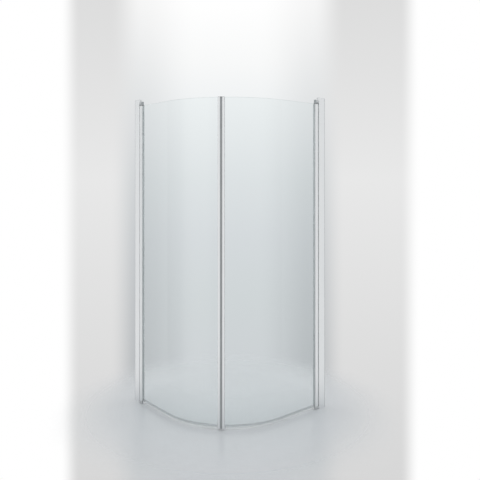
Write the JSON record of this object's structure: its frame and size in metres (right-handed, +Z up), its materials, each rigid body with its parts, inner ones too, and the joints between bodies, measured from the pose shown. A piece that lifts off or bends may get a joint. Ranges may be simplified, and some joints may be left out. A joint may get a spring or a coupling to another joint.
{
  "type": "quadrant shower enclosure",
  "caption": "Quadrant shower enclosure of curved glass doors, each pivoting outwards on a wall profile and closing on a magnetic seal.",
  "frame": {"origin": "on the floor, in the middle of the square footprint", "axes": "+Z up; the left wall is the plane at low X and the right wall is the plane at high Y, so the room's corner is at low X and high Y and the curve faces high X and low Y"},
  "size_m": [0.89, 0.89, 2],
  "materials": {
    "mill_aluminium": "mill finish, hidden by the frame profile",
    "anodised_aluminium": "satin anodised, light silver",
    "steel": "turned stainless steel",
    "light_moulding": "fine matt moulded ABS, silver grey",
    "grey_casting": "mid grey powder coat on a zinc casting",
    "light_casting": "light silver powder coat on a zinc casting",
    "bearing_plastic": "grey acetal",
    "clear_vinyl": "clear extruded vinyl, slightly clouded",
    "clear_glass": "clear toughened glass, polished edges",
    "glazing_rubber": "matt light grey EPDM",
    "edge_rubber": "matt pale grey EPDM",
    "carrier_vinyl": "satin grey vinyl",
    "magnet_rubber": "ferrite in rubber",
    "cap_moulding": "fine matt moulded nylon, mid grey"
  },
  "bodies": {
    "root": {"left_wall_channel": "mill_aluminium", "left_frame_profile": "anodised_aluminium", "left_adjusting_screws": "steel", "left_screw_covers": "light_moulding", "left_frame_cap": "light_moulding", "left_top_hinge_arm": "grey_casting", "left_top_arm_screws": "steel", "left_top_pivot_pin": "steel", "left_bottom_hinge_arm": "light_casting", "left_bottom_arm_screws": "steel", "left_bottom_pivot_pin": "steel", "left_thrust_washer": "bearing_plastic", "left_gap_seal": "clear_vinyl", "right_wall_channel": "mill_aluminium", "right_frame_profile": "anodised_aluminium", "right_adjusting_screws": "steel", "right_screw_covers": "light_moulding", "right_frame_cap": "light_moulding", "right_top_hinge_arm": "grey_casting", "right_top_arm_screws": "steel", "right_top_pivot_pin": "steel", "right_bottom_hinge_arm": "light_casting", "right_bottom_arm_screws": "steel", "right_bottom_pivot_pin": "steel", "right_thrust_washer": "bearing_plastic", "right_gap_seal": "clear_vinyl"},
    "left_door": {"left_hinge_profile": "anodised_aluminium", "left_top_bush": "bearing_plastic", "left_bottom_bush": "bearing_plastic", "left_glass": "clear_glass", "left_outer_glazing_gasket": "glazing_rubber", "left_inner_glazing_gasket": "glazing_rubber", "left_closing_profile": "anodised_aluminium", "left_outer_edge_gasket": "edge_rubber", "left_inner_edge_gasket": "edge_rubber", "left_magnet_carrier": "carrier_vinyl", "left_magnet_strip": "magnet_rubber", "left_closing_top_cap": "cap_moulding", "left_closing_bottom_cap": "cap_moulding", "left_bottom_seal": "clear_vinyl"},
    "right_door": {"right_hinge_profile": "anodised_aluminium", "right_top_bush": "bearing_plastic", "right_bottom_bush": "bearing_plastic", "right_glass": "clear_glass", "right_outer_glazing_gasket": "glazing_rubber", "right_inner_glazing_gasket": "glazing_rubber", "right_closing_profile": "anodised_aluminium", "right_outer_edge_gasket": "edge_rubber", "right_inner_edge_gasket": "edge_rubber", "right_magnet_carrier": "carrier_vinyl", "right_magnet_strip": "magnet_rubber", "right_closing_top_cap": "cap_moulding", "right_closing_bottom_cap": "cap_moulding", "right_bottom_seal": "clear_vinyl"}
  },
  "joints": [
    {"name": "left_door_hinge", "type": "hinge", "parent": "root", "child": "left_door", "pos_m": [-0.37, -0.433, 0], "axis": [0, 0, -1], "range_deg": [0, 90]},
    {"name": "right_door_hinge", "type": "hinge", "parent": "root", "child": "right_door", "pos_m": [0.433, 0.37, 0], "axis": [0, 0, 1], "range_deg": [0, 90]}
  ]
}
